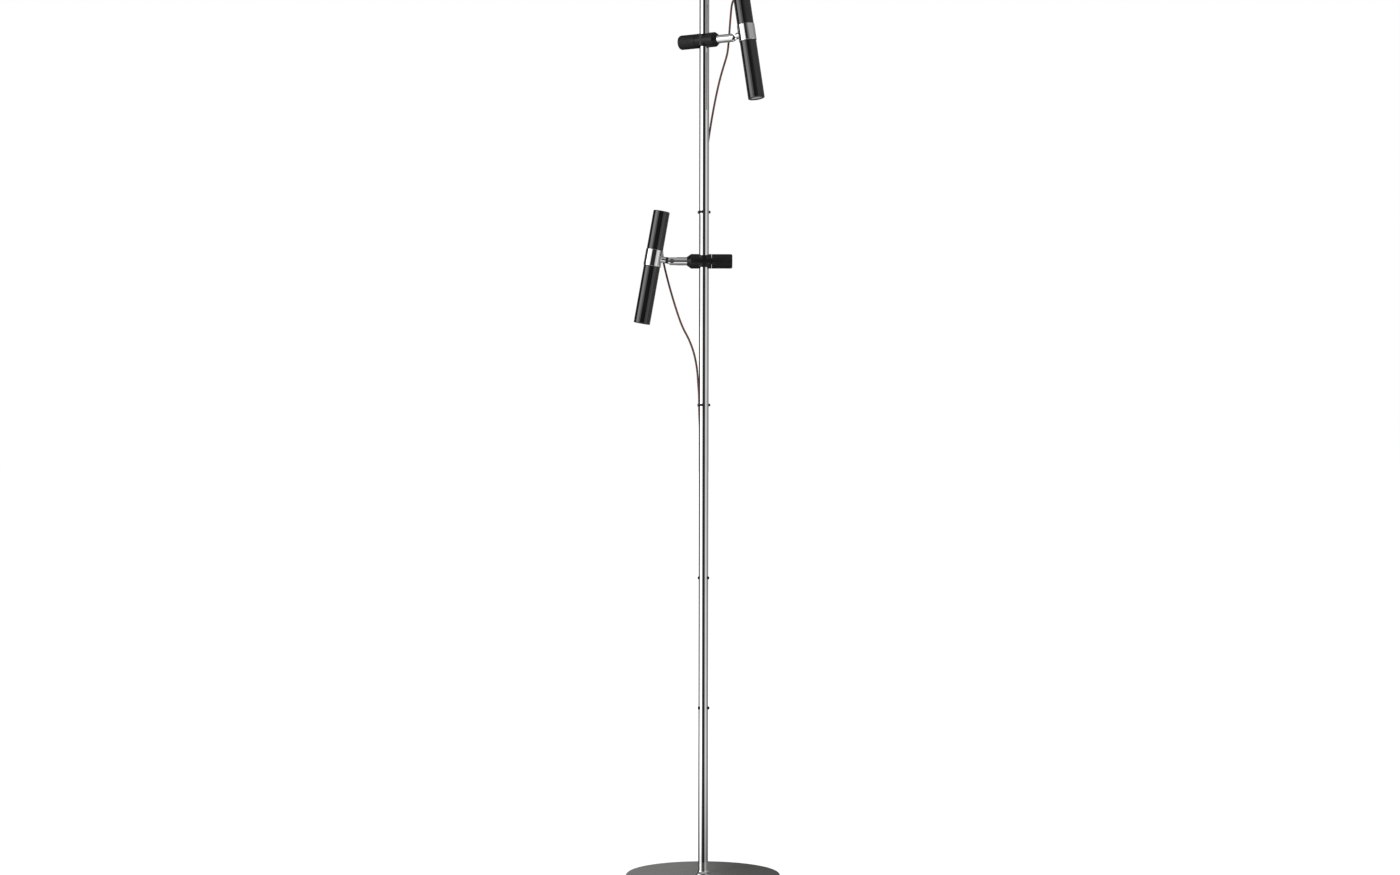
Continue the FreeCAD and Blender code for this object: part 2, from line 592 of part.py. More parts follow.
def knob_insert():
    """Brass bush pressed in the knob: a lip rolled into the neck's groove, and an end wall screwed on the stem."""
    front = KNOB_FACE + INSERT_SINK
    lip_end = NECK_GROOVE_END - FIT
    return turned(
        [
            (-front, NECK_GROOVE_RADIUS + FIT),
            (-front, INSERT_RADIUS),
            (-INSERT_END, INSERT_RADIUS),
            (-INSERT_END, SHOE_STEM_RADIUS + THREAD_FIT),
            (-INSERT_SHOULDER, SHOE_STEM_RADIUS + THREAD_FIT),
            (-INSERT_SHOULDER, NECK_RADIUS + FIT),
            (-lip_end, NECK_RADIUS + FIT),
            (-lip_end, NECK_GROOVE_RADIUS + FIT),
        ],
        OUT,
    )


# ---------------------------------------------------------------- arm and hinge, in arm coordinates
def arm():
    """Chrome rod: a threaded spigot in the clamp, and a slotted fork round the hinge."""
    spigot_start = BARREL_NOSE - ARM_SPIGOT_LENGTH + EDGE_BREAK
    spigot = cylinder(ARM_SPIGOT_RADIUS, at(spigot_start, 0, 0), ARM_SPIGOT_LENGTH, OUT)
    rod = cylinder(ARM_RADIUS, at(BARREL_NOSE, 0, 0), HINGE_FROM_POLE - BARREL_NOSE, OUT)
    end_rod = cylinder(ARM_RADIUS, at(HINGE_FROM_POLE, 0, 0), ARM_RADIUS, OUT)
    round_end = cylinder(ARM_RADIUS, at(HINGE_FROM_POLE, -ARM_RADIUS, 0), 2 * ARM_RADIUS, SIDE)
    body = rod.fuse([end_rod.common(round_end), spigot])
    far = HINGE_FROM_POLE + 2 * ARM_RADIUS
    slot = block(
        (HINGE_FROM_POLE - FORK_DEPTH, -SLOT_HALF_WIDTH, -2 * ARM_RADIUS),
        (far, SLOT_HALF_WIDTH, 2 * ARM_RADIUS),
    )
    shank = cylinder(SCREW_RADIUS + FIT, at(HINGE_FROM_POLE, -2 * ARM_RADIUS, 0), 4 * ARM_RADIUS, SIDE)
    seat = screw_seat()
    head_room = cylinder(SCREW_HEAD_RADIUS + SCREW_HEAD_ROOM, at(HINGE_FROM_POLE, seat, 0), ARM_RADIUS, SIDE)
    return body.cut([slot, shank, head_room]).removeSplitter()


def screw_seat():
    """How far the screw head's underside lies from the arm's middle plane."""
    return ARM_RADIUS - SCREW_HEAD_HEIGHT - SCREW_HEAD_SINK


def hinge_screw():
    """Slotted pan screw through the fork, flush with the far cheek."""
    seat = screw_seat()
    shank_end = ARM_RADIUS - SCREW_TIP_SINK
    shank = cylinder(SCREW_RADIUS, at(HINGE_FROM_POLE, -shank_end, 0), seat + shank_end, SIDE)
    head = cylinder(SCREW_HEAD_RADIUS, at(HINGE_FROM_POLE, seat, 0), SCREW_HEAD_HEIGHT, SIDE)
    half = SCREW_SLOT / 2
    top = seat + SCREW_HEAD_HEIGHT
    slot = block(
        (HINGE_FROM_POLE - 2 * SCREW_HEAD_RADIUS, top - SCREW_SLOT, -half),
        (HINGE_FROM_POLE + 2 * SCREW_HEAD_RADIUS, top + 1, half),
    )
    return shank.fuse(head).cut(slot).removeSplitter()


def hinge_washers():
    """Two friction washers, one on each side of the lug."""
    inner_face = LUG_THICKNESS / 2 + FIT
    washers = []
    for start in (inner_face, -inner_face - FORK_WASHER):
        ring = cylinder(LUG_HALF_HEIGHT - 0.5, at(HINGE_FROM_POLE, start, 0), FORK_WASHER, SIDE)
        hole = cylinder(SCREW_RADIUS + FIT, at(HINGE_FROM_POLE, start - 1, 0), FORK_WASHER + 2, SIDE)
        washers.append(ring.cut(hole))
    return washers


# ---------------------------------------------------------------- head, in head coordinates
def head_lug():
    """Tongue in the fork that grows into a round neck and is riveted in the band."""
    half = LUG_THICKNESS / 2
    neck_start = -BAND_RADIUS - LUG_NECK_LENGTH
    plate = block((-LUG_REACH, -half, -LUG_HALF_HEIGHT), (neck_start + 1, half, LUG_HALF_HEIGHT))
    eye = cylinder(LUG_HALF_HEIGHT, at(-LUG_REACH, -half, 0), LUG_THICKNESS, SIDE)
    neck = cylinder(LUG_HALF_HEIGHT, at(neck_start, 0, 0), LUG_NECK_LENGTH + 3, OUT)
    neck = neck.cut(cylinder(BAND_RADIUS + FIT, at(0, 0, -BAND_HALF), BAND_HEIGHT))
    rivet = cylinder(RIVET_RADIUS, at(neck_start + 1, 0, 0), LUG_NECK_LENGTH + 2.5, OUT)
    hole = cylinder(SCREW_RADIUS + FIT, at(-LUG_REACH, -BAND_RADIUS, 0), 2 * BAND_RADIUS, SIDE)
    return plate.fuse([eye, neck, rivet]).cut(hole).removeSplitter()


def head_band():
    """Chrome ring that both tubes screw into."""
    outline = [
        (-BAND_HALF, TUBE_BORE),
        (-BAND_HALF, BAND_RADIUS - EDGE_BREAK),
        (-BAND_HALF + EDGE_BREAK, BAND_RADIUS),
        (BAND_HALF - EDGE_BREAK, BAND_RADIUS),
        (BAND_HALF, BAND_RADIUS - EDGE_BREAK),
        (BAND_HALF, TUBE_BORE),
    ]
    ring = turned(outline)
    wide = SPIGOT_RADIUS + FIT
    deep = SPIGOT_LENGTH + SPIGOT_END_ROOM
    lower = cylinder(wide, at(0, 0, -BAND_HALF), deep)
    upper = cylinder(wide, at(0, 0, BAND_HALF - deep), deep)
    rivet_hole = cylinder(RIVET_RADIUS + FIT, at(-2 * BAND_RADIUS, 0, 0), 2 * BAND_RADIUS, OUT)
    return ring.cut([lower, upper, rivet_hole])


def head_tube(band_side, far_side):
    """A black tube from the band to the groove at its end ring; far_side is below 0 for the long one."""
    sign = 1 if far_side > 0 else -1
    outline = [
        (band_side - sign * SPIGOT_LENGTH, TUBE_BORE),
        (band_side - sign * SPIGOT_LENGTH, SPIGOT_RADIUS),
        (band_side, SPIGOT_RADIUS),
        (band_side, TUBE_RADIUS),
        (far_side, TUBE_RADIUS),
        (far_side, END_SPIGOT_RADIUS + FIT),
        (far_side - sign * (END_SPIGOT + SPIGOT_END_ROOM), END_SPIGOT_RADIUS + FIT),
        (far_side - sign * (END_SPIGOT + SPIGOT_END_ROOM), TUBE_BORE),
    ]
    return turned(outline)


def short_tube(gland_angle):
    body = head_tube(BAND_HALF, SHORT_END - END_RING)
    return body.cut(gland_cylinder(GLAND_TIP_RADIUS + FIT, 0, 2 * TUBE_RADIUS, gland_angle))


def gland_cylinder(radius, start, end, angle):
    """A cylinder that points out of the short tube at the gland's height, between two distances from its axis."""
    body = cylinder(radius, at(start, 0, GLAND_HEIGHT), end - start, OUT)
    return turn_about_z(body, angle)


def cord_gland(angle):
    """Tapered gland with a saddle foot on the short tube."""
    outline = [
        (TUBE_BORE, 0),
        (TUBE_BORE, GLAND_RADIUS),
        (TUBE_RADIUS + GLAND_FOOT_HEIGHT, GLAND_RADIUS),
        (GLAND_TIP, GLAND_TIP_RADIUS),
        (GLAND_TIP, 0),
    ]
    body = moved(turned(outline, OUT), z=GLAND_HEIGHT)
    body = body.cut(cylinder(TUBE_RADIUS + FIT, at(0, 0, 0), SHORT_END))
    neck = cylinder(GLAND_TIP_RADIUS, at(TUBE_BORE, 0, GLAND_HEIGHT), TUBE_WALL + 1, OUT)
    bore = cylinder(CORD_RADIUS + FIT, at(GLAND_TIP - GLAND_BORE_DEPTH, 0, GLAND_HEIGHT), GLAND_LENGTH, OUT)
    return turn_about_z(body.fuse(neck).cut(bore).removeSplitter(), angle)


def end_ring_outline(face, towards_tube, bore, small):
    """Outline of a ring that closes a tube: outer face, groove and spigot."""
    sign = 1 if towards_tube > face else -1
    groove = towards_tube - sign * END_GROOVE
    return [
        (face, bore),
        (face, TUBE_RADIUS - small),
        (face + sign * small * 0.3, TUBE_RADIUS - small * 0.3),
        (face + sign * small, TUBE_RADIUS),
        (groove, TUBE_RADIUS),
        (groove, TUBE_RADIUS - END_GROOVE_DEPTH),
        (towards_tube, TUBE_RADIUS - END_GROOVE_DEPTH),
        (towards_tube, END_SPIGOT_RADIUS),
        (towards_tube + sign * END_SPIGOT, END_SPIGOT_RADIUS),
        (towards_tube + sign * END_SPIGOT, bore),
    ]


def bezel():
    """Ring that screws in the long tube's mouth and holds the lens."""
    ring = turned(end_ring_outline(LONG_END, LONG_END + END_RING, BEZEL_BORE, 1.0))
    return ring.cut(cylinder(LENS_RADIUS + FIT, at(0, 0, LENS_FLOOR), 2 * END_RING + END_SPIGOT))


def end_cap():
    """Closed cap on the short tube, hollow inside."""
    cap = turned(end_ring_outline(SHORT_END, SHORT_END - END_RING, 0, 1.2))
    hollow_floor = SHORT_END - END_RING - END_SPIGOT
    hollow_radius = END_SPIGOT_RADIUS - CAP_WALL
    return cap.cut(cylinder(hollow_radius, at(0, 0, hollow_floor), END_SPIGOT + END_RING - CAP_FACE))


def reflector():
    """Thin cone from the lens to the light source."""
    outline = [
        (REFLECTOR_MOUTH, BOARD_RADIUS - REFLECTOR_WALL),
        (REFLECTOR_MOUTH, BOARD_RADIUS),
        (BOARD_FLOOR - STACK_GAP, REFLECTOR_THROAT + REFLECTOR_WALL),
        (BOARD_FLOOR - STACK_GAP, REFLECTOR_THROAT),
    ]
    return turned(outline)


def led_module():
    """Round board with its emitter dome."""
    board = cylinder(BOARD_RADIUS, at(0, 0, BOARD_FLOOR), BOARD_THICKNESS)
    dome = Part.makeSphere(EMITTER_RADIUS, at(0, 0, BOARD_FLOOR), UP, -90, 0, 360)
    return board.fuse(dome).removeSplitter()


def heat_sink():
    """Aluminium core with fins, on the back of the board."""
    sink = cylinder(SINK_CORE, at(0, 0, SINK_FLOOR), SINK_LENGTH)
    plate = cylinder(TUBE_BORE - SINK_SIDE_GAP, at(0, 0, SINK_FLOOR), SINK_PLATE)
    sink = sink.fuse(plate)
    half = SINK_FIN_WIDTH / 2
    fin_reach = TUBE_BORE - 1.5 * SINK_SIDE_GAP
    fin = block((0, -half, SINK_FLOOR), (fin_reach, half, SINK_FLOOR + SINK_LENGTH))
    fins = [turn_about_z(fin, 360 * (i + 0.5) / SINK_FINS) for i in range(SINK_FINS)]
    room_floor = SINK_FLOOR + SINK_LENGTH - WIRE_ROOM_DEPTH
    wire_room = cylinder(WIRE_RADIUS + WIRE_ROOM, at(0, 0, room_floor), SINK_LENGTH)
    return sink.fuse(fins).removeSplitter().cut(wire_room)


def head_wires(gland_angle):
    """The cord's inner wires from the gland down to the heat sink."""
    a = math.radians(gland_angle)
    inner = TUBE_BORE - 0.6
    start = (inner * math.cos(a), inner * math.sin(a), GLAND_HEIGHT)
    near = (7.0 * math.cos(a), 7.0 * math.sin(a), GLAND_HEIGHT)
    route = [start, near, (1.5 * math.cos(a), 1.5 * math.sin(a), GLAND_HEIGHT - 6)]
    bottom = SINK_FLOOR + SINK_LENGTH - WIRE_ROOM_DEPTH + 2
    route += [(0, 0, GLAND_HEIGHT - 16), (0, 1.0, 20), (0, 0, -20), (0, 0, bottom)]
    return cord("head wires", route, WIRE_RADIUS)


# ---------------------------------------------------------------- placing and writing the lamps
def on_head(shape, lamp):
    """From head coordinates to the lamp's place on the pole."""
    out = moved(shape, x=LUG_REACH)
    out.rotate(ORIGIN, SIDE, -HEAD_TILT)
    out.translate(at(HINGE_FROM_POLE, 0, 0))
    return on_arm(out, lamp)


def on_arm(shape, lamp):
    """From arm coordinates to the lamp's place on the pole."""
    return moved(turn_about_z(shape, lamp["azimuth"]), z=lamp["height"])


def head_point(lamp, x, y, z):
    """Where a point of the head lies on the standing lamp."""
    p = on_head(Part.Vertex(x, y, z), lamp).Point
    return (p.x, p.y, p.z)


def gland_route(lamp):
    """The cord's first points: its start in the gland and a short way straight out of it."""
    a = math.radians(lamp["gland"] - lamp["azimuth"])
    points = []
    for reach in (GLAND_TIP - GLAND_BORE_DEPTH, GLAND_TIP + GLAND_EXIT_RUN):
        points.append(head_point(lamp, reach * math.cos(a), reach * math.sin(a), GLAND_HEIGHT))
    return points


def write_lamp(lamp):
    name = lamp["name"] + "_"
    write(name + "liner", on_arm(liner(), lamp))
    write(name + "clamp_body", on_arm(clamp_body(), lamp))
    write(name + "shoe", on_arm(shoe(), lamp))
    write(name + "knob", on_arm(knob(), lamp))
    write(name + "knob_insert", on_arm(knob_insert(), lamp))
    write(name + "arm", on_arm(arm(), lamp))
    write(name + "hinge_screw", on_arm(hinge_screw(), lamp))
    write(name + "hinge_washers", *[on_arm(w, lamp) for w in hinge_washers()])
    gland_angle = lamp["gland"] - lamp["azimuth"]
    long_end = LONG_END + END_RING
    pieces = {
        "head_lug": head_lug(),
        "head_band": head_band(),
        "long_tube": head_tube(-BAND_HALF, long_end),
        "short_tube": short_tube(gland_angle),
        "bezel": bezel(),
        "lens": cylinder(LENS_RADIUS, at(0, 0, LENS_FLOOR), LENS_THICKNESS),
        "reflector": reflector(),
        "led_module": led_module(),
        "heat_sink": heat_sink(),
        "head_wires": head_wires(gland_angle),
        "end_cap": end_cap(),
        "cord_gland": cord_gland(gland_angle),
    }
    for piece, solid in pieces.items():
        write(name + piece, on_head(solid, lamp))


# ---------------------------------------------------------------- the cords' routes
def upper_free_route():
    """From the upper gland, down behind the arm, to the pole's back and the top clip."""
    clip = in_clip(CLIP_TOP, 0)
    hanging = from_top(
        (55.4, -17.2, -48.5),
        (52.6, -11.6, -57.5),
        (51.2, -9.0, -73.0),
        (49.3, -8.2, -95.0),
        (47.6, -8.0, -122.0),
        (45.0, -7.0, -150.0),
        (37.4, -4.5, -174.0),
        (30.4, -2.0, -198.0),
        (23.9, 0.0, -226.0),
        (17.8, 2.6, -257.0),
        (12.6, 6.0, -287.0),
        (7.0, 10.6, -324.0),
        (0.5, 12.4, -362.0),
        (-4.4, 11.8, -402.0),
    )
    return gland_route(UPPER_LAMP) + hanging + [above(clip, 22.0), clip]


def lower_free_route():
    """From the lower gland, down behind the head, to the pole's left side and the upper clip."""
    clip = in_clip(CLIP_UPPER, -1)
    hanging = from_top(
        (-85.1, 32.4, -474.6),
        (-85.0, 37.4, -482.0),
        (-84.4, 38.9, -494.0),
        (-82.9, 36.6, -516.0),
        (-80.0, 32.4, -548.0),
        (-71.6, 26.6, -583.0),
        (-62.5, 21.6, -616.0),
        (-51.4, 16.6, -652.0),
        (-41.2, 13.0, -680.0),
        (-28.4, 10.4, -703.0),
        (-18.6, 8.6, -730.0),
        (-12.6, 7.2, -762.0),
        (-10.6, 7.0, -794.0),
    )
    return gland_route(LOWER_LAMP) + hanging + [above(clip, 18.0), clip]


def upper_mid_route():
    """The upper lamp's cord from the top clip, round the back of the lower clamp, to the upper clip."""
    high = in_clip(CLIP_TOP, 0)
    low = in_clip(CLIP_UPPER, 1)
    behind = from_top(
        (-6.6, 12.6, -494.0),
        (-5.2, 17.4, -525.0),
        (-4.4, 18.9, -551.0),
        (-4.0, 17.9, -584.0),
        (-4.0, 15.6, -636.0),
        (-4.4, 13.4, -692.0),
        (-5.0, 12.2, -748.0),
        (-5.8, 11.2, -796.0),
    )
    return [high, above(high, -16.0)] + behind + [above(low, 16.0), low]


def pole_route(slot):
    """A cord clipped to the pole, from the upper clip down to the terminal block."""
    top = in_clip(CLIP_UPPER, slot)
    mid = in_clip(CLIP_LOWER, slot)
    foot = in_clip(CLIP_FOOT, slot)
    x = slot * SLOT_PITCH / 2
    lean = math.degrees(math.asin(-x / CORD_SEAT))
    turn = CLIP_UPPER[1]
    wide = CORD_SEAT + 0.7
    block_top = FELT_THICKNESS + BLOCK_HEIGHT
    return [
        top,
        above(top, -14.0),
        beside_pole(0.62 * turn + lean, wide, top[2] - 50),
        beside_pole(0.28 * turn + lean, wide, top[2] - 105),
        beside_pole(0.06 * turn + lean, wide, top[2] - 180),
        above(mid, 16.0),
        above(mid, -16.0),
        (mid[0], mid[1] + 0.9, (mid[2] + foot[2]) / 2),
        above(foot, 16.0),
        above(foot, -16.0),
        (foot[0], foot[1] + 0.6, 220.0),
        (x, CORD_SEAT + 0.9, 130.0),
        (x, CORD_SEAT + 1.4, 75.0),
        (x, ENTRY_BACK - 2.6, 48.0),
        (x, ENTRY_BACK, 32.0),
        (x, ENTRY_BACK, block_top),
    ]


def write_cords():
    write("upper_free_cord", cord("upper free cord", upper_free_route()))
    write("lower_free_cord", cord("lower free cord", lower_free_route()))
    write("upper_cord_mid", cord("upper cord, middle", upper_mid_route()))
    write("upper_pole_cord", cord("upper pole cord", pole_route(1)))
    write("lower_pole_cord", cord("lower pole cord", pole_route(-1)))


os.makedirs("parts", exist_ok=True)
write_base()
write_pole()
write_lamp(UPPER_LAMP)
write_lamp(LOWER_LAMP)
write_cords()
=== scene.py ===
import math

import bpy
from mathutils import Matrix, Vector


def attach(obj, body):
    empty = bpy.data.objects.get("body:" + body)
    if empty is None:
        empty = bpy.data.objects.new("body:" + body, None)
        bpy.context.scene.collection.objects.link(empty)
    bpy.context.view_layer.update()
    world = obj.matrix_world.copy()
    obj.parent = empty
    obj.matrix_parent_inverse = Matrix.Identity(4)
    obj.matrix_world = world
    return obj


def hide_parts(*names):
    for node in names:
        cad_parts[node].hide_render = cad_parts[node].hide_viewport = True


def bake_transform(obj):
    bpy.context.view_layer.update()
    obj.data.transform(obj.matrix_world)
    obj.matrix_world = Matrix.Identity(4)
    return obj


# Looks of a free-standing pole lamp with two spots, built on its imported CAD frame.
# Metres, +Z up, +X to the right, +Y to the back, as in the CAD. The pole stands on the Z axis.

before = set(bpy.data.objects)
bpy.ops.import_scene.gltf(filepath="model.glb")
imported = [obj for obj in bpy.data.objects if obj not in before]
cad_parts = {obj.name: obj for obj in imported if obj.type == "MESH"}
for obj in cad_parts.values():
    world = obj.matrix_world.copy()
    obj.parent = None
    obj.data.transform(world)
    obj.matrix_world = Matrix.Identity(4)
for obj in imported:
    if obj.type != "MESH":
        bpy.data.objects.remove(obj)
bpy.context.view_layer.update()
collection = bpy.context.scene.collection

# ---------------------------------------------------------------- camera
CAMERA_PLACE = (-0.0072, -5.040, 0.861)
CAMERA_ROLL = math.radians(-0.09)
CAMERA_LENS = 66.857  # mm, on a 36 mm sensor


def add_camera():
    data = bpy.data.cameras.new("camera")
    data.lens = CAMERA_LENS
    camera = bpy.data.objects.new("camera", data)
    camera.location = CAMERA_PLACE
    camera.rotation_euler = (math.pi / 2, CAMERA_ROLL, 0)
    collection.objects.link(camera)
    bpy.context.scene.camera = camera


add_camera()

# ---------------------------------------------------------------- the lamps' places, as in part.py
HINGE_FROM_POLE = 0.062
LUG_REACH = 0.0366  # from the hinge to the head's axis
HEAD_TILT = math.radians(10)
GLAND_HEIGHT = 0.074  # above the middle of the head's band
GLAND_TIP = 0.024  # from the head's axis
GLAND_BORE = 0.005
GLAND_STRAIGHT = 0.002  # the cord's straight run past the gland's tip
UPPER_LAMP = {"height": 1.6305, "azimuth": math.radians(-34), "gland": math.radians(117)}
LOWER_LAMP = {"height": 1.2025, "azimuth": math.radians(180), "gland": math.radians(90)}


def head_matrix(lamp):
    """From head coordinates to the place of the lamp's head."""
    arm = Matrix.Translation((0, 0, lamp["height"])) @ Matrix.Rotation(lamp["azimuth"], 4, "Z")
    hinge = arm @ Matrix.Translation((HINGE_FROM_POLE, 0, 0)) @ Matrix.Rotation(-HEAD_TILT, 4, "Y")
    return hinge @ Matrix.Translation((LUG_REACH, 0, 0))


# ---------------------------------------------------------------- cords
CORD_RADIUS = 0.002
CORD_SEAT = 0.0116  # from the pole's axis to a cord in a clip
SLOT_PITCH = 0.0043  # between the two cords in a clip
CLIP_TOP = (1.298, math.radians(40))  # height, and turn to the left of straight back
CLIP_UPPER = (0.924, math.radians(40))
CLIP_LOWER = (0.589, 0.0)
CLIP_FOOT = (0.337, math.radians(8))
ENTRY_BACK = 0.021  # where the cords go into the base, behind the pole's axis
BLOCK_TOP = 0.011
# Below the upper clip the pole cords turn to straight back. Each row has the share of the turn that is left
# and the height.
TURNING = [(0.62, 0.874), (0.28, 0.819), (0.06, 0.744)]
TURNING_SEAT = CORD_SEAT + 0.0007  # from the pole's axis, while they turn
CORD_SIDES = 20
NEAR_ENOUGH = 1e-5  # between two heights along a cord


def in_clip(clip, slot, rise=0.0):
    """The middle of a cord in a clip. Slot -1 is the left one, +1 the right one, 0 a cord alone."""
    height, turn = clip
    x = slot * SLOT_PITCH / 2
    across = x * math.cos(turn) - CORD_SEAT * math.sin(turn)
    back = x * math.sin(turn) + CORD_SEAT * math.cos(turn)
    return (across, back, height + rise)


def beside_pole(turn, distance, height):
    """A point beside the pole, turned to the left of straight back."""
    return (-distance * math.sin(turn), distance * math.cos(turn), height)


def from_gland(lamp):
    """The cord's start in its gland and a point straight out of it."""
    turn = lamp["gland"] - lamp["azimuth"]
    out = Vector((math.cos(turn), math.sin(turn), 0))
    up = Vector((0, 0, GLAND_HEIGHT))
    reaches = (GLAND_TIP - GLAND_BORE, GLAND_TIP + GLAND_STRAIGHT)
    return [tuple(head_matrix(lamp) @ (out * reach + up)) for reach in reaches]


UPPER_FREE_ROUTE = from_gland(UPPER_LAMP) + [
    (0.0554, -0.0172, 1.7055),
    (0.0526, -0.0116, 1.6965),
    (0.0512, -0.0090, 1.6810),
    (0.0493, -0.0082, 1.6590),
    (0.0476, -0.0080, 1.6320),
    (0.0450, -0.0070, 1.6040),
    (0.0374, -0.0045, 1.5800),
    (0.0304, -0.0020, 1.5560),
    (0.0239, 0.0000, 1.5280),
    (0.0178, 0.0026, 1.4970),
    (0.0126, 0.0060, 1.4670),
    (0.0070, 0.0106, 1.4300),
    (0.0005, 0.0124, 1.3920),
    (-0.0044, 0.0118, 1.3520),
    in_clip(CLIP_TOP, 0, 0.022),
    in_clip(CLIP_TOP, 0),
]
LOWER_FREE_ROUTE = from_gland(LOWER_LAMP) + [
    (-0.0851, 0.0324, 1.2794),
    (-0.0850, 0.0374, 1.2720),
    (-0.0844, 0.0389, 1.2600),
    (-0.0829, 0.0366, 1.2380),
    (-0.0800, 0.0324, 1.2060),
    (-0.0716, 0.0266, 1.1710),
    (-0.0625, 0.0216, 1.1380),
    (-0.0514, 0.0166, 1.1020),
    (-0.0412, 0.0130, 1.0740),
    (-0.0284, 0.0104, 1.0510),
    (-0.0186, 0.0086, 1.0240),
    (-0.0126, 0.0072, 0.9920),
    (-0.0106, 0.0070, 0.9600),
    in_clip(CLIP_UPPER, -1, 0.018),
    in_clip(CLIP_UPPER, -1),
]
UPPER_MID_ROUTE = [
    in_clip(CLIP_TOP, 0),
    in_clip(CLIP_TOP, 0, -0.016),
    (-0.0066, 0.0126, 1.2600),
    (-0.0052, 0.0174, 1.2290),
    (-0.0044, 0.0189, 1.2030),
    (-0.0040, 0.0179, 1.1700),
    (-0.0040, 0.0156, 1.1180),
    (-0.0044, 0.0134, 1.0620),
    (-0.0050, 0.0122, 1.0060),
    (-0.0058, 0.0112, 0.9580),
    in_clip(CLIP_UPPER, 1, 0.016),
    in_clip(CLIP_UPPER, 1),
]


def pole_route(slot):
    """A cord clipped to the pole, from the upper clip down into the base."""
    x = slot * SLOT_PITCH / 2
    lean = math.asin(-x / CORD_SEAT)
    turning = [beside_pole(share * CLIP_UPPER[1] + lean, TURNING_SEAT, z) for share, z in TURNING]
    across, back, height = in_clip(CLIP_LOWER, slot)
    foot_across, foot_back, foot = in_clip(CLIP_FOOT, slot)
    return [
        in_clip(CLIP_UPPER, slot),
        in_clip(CLIP_UPPER, slot, -0.014),
        *turning,
        in_clip(CLIP_LOWER, slot, 0.016),
        in_clip(CLIP_LOWER, slot, -0.016),
        (across, back + 0.0009, (height + foot) / 2),
        in_clip(CLIP_FOOT, slot, 0.016),
        in_clip(CLIP_FOOT, slot, -0.016),
        (foot_across, foot_back + 0.0006, 0.220),
        (x, CORD_SEAT + 0.0009, 0.130),
        (x, CORD_SEAT + 0.0014, 0.075),
        (x, ENTRY_BACK - 0.0026, 0.048),
        (x, ENTRY_BACK, 0.032),
        (x, ENTRY_BACK, BLOCK_TOP),
    ]


def smooth_line(route):
    """The line of a NURBS spline that has the route's points as its control points."""
    curve = bpy.data.curves.new("route", "CURVE")
    curve.dimensions = "3D"
    spline = curve.splines.new("NURBS")
    spline.points.add(len(route) - 1)
    for point, place in zip(spline.points, route):
        point.co = (*place, 1)
    spline.order_u = 3
    spline.use_endpoint_u = True
    holder = bpy.data.objects.new("route", curve)
    collection.objects.link(holder)
    bpy.context.view_layer.update()
    mesh = bpy.data.meshes.new_from_object(holder)
    line = [v.co.copy() for v in mesh.vertices]
    bpy.data.objects.remove(holder)
    bpy.data.curves.remove(curve)
    bpy.data.meshes.remove(mesh)
    return line


def rings_along(line, radius, sides):
    """A ring of points round each point of a line, carried along it without twist."""
    rings = []
    side = Vector((1, 0, 0))
    for i, point in enumerate(line):
        ahead = (line[min(i + 1, len(line) - 1)] - line[max(i - 1, 0)]).normalized()
        side = (side - ahead * side.dot(ahead)).normalized()
        other = ahead.cross(side)
        turns = [2 * math.pi * k / sides for k in range(sides)]
        rings.append([point + (side * math.cos(t) + other * math.sin(t)) * radius for t in turns])
    return rings


def tube_mesh(name, rings, along):
    """A closed tube through rings of points. Its UV map has turns round the tube and metres along it."""
    sides = len(rings[0])
    points = [tuple(p) for ring in rings for p in ring]
    faces, uvs = [], []
    for i in range(len(rings) - 1):
        for k in range(sides):
            low, high = i * sides, (i + 1) * sides
            after = (k + 1) % sides
            faces.append((low + k, low + after, high + after, high + k))
            left, right = k / sides, (k + 1) / sides
            uvs += [(left, along[i]), (right, along[i]), (right, along[i + 1]), (left, along[i + 1])]
    last = (len(rings) - 1) * sides
    for cap in (list(range(sides))[::-1], list(range(last, last + sides))):
        faces.append(cap)
        uvs += [(0.5, along[0])] * sides
    mesh = bpy.data.meshes.new(name)
    mesh.from_pydata(points, [], faces)
    layer = mesh.uv_layers.new(name="tube")
    for loop, uv in zip(layer.data, uvs):
        loop.uv = uv
    for face in mesh.polygons:
        face.use_smooth = len(face.vertices) == 4
    mesh.update()
    piece = bpy.data.objects.new(name, mesh)
    collection.objects.link(piece)
    return piece


def lengths_along(line):
    total = [0.0]
    for a, b in zip(line, line[1:]):
        total.append(total[-1] + (b - a).length)
    return total


def add_cord(route, pieces, node, material):
    """Builds a cord in the pieces that the joints need.

    Each piece is a name, the height where it ends, its bodies and a zone of two heights, which is not used.
    """
    line = smooth_line(route)
    rings = rings_along(line, CORD_RADIUS, CORD_SIDES)
    along = lengths_along(line)
    start, last = 0, len(line) - 1
    for name, low, bodies, zone in pieces:
        end = next((i for i in range(start + 1, last) if line[i].z <= low + NEAR_ENOUGH), last)
        tube = tube_mesh(name, rings[start : end + 1], along[start : end + 1])
        tube.data.materials.append(material)
        if len(bodies) == 1:
            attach(tube, bodies[0])
        else:
            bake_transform(tube)
        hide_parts(node)
        start = end


# ---------------------------------------------------------------- materials
COAT_ROUGHNESS = 0.08
GLOSS_PATCH = 3.1  # how much finer than its colour a finish's gloss varies
BRAID_PITCH = 0.009  # along the cord, for one turn of a strand
BRAID_STRANDS = 8  # each way
BRAID_DEPTH = 0.00012
BRAID_EDGE = 0.6  # of a strand's height, where its colour stops changing; that colour is painted shade, darker down in the grooves and lighter up on the strands
BRAID_ROUGHNESS, BRAID_SHEEN = 0.72, 0.25
WHITE = (1, 1, 1, 1)


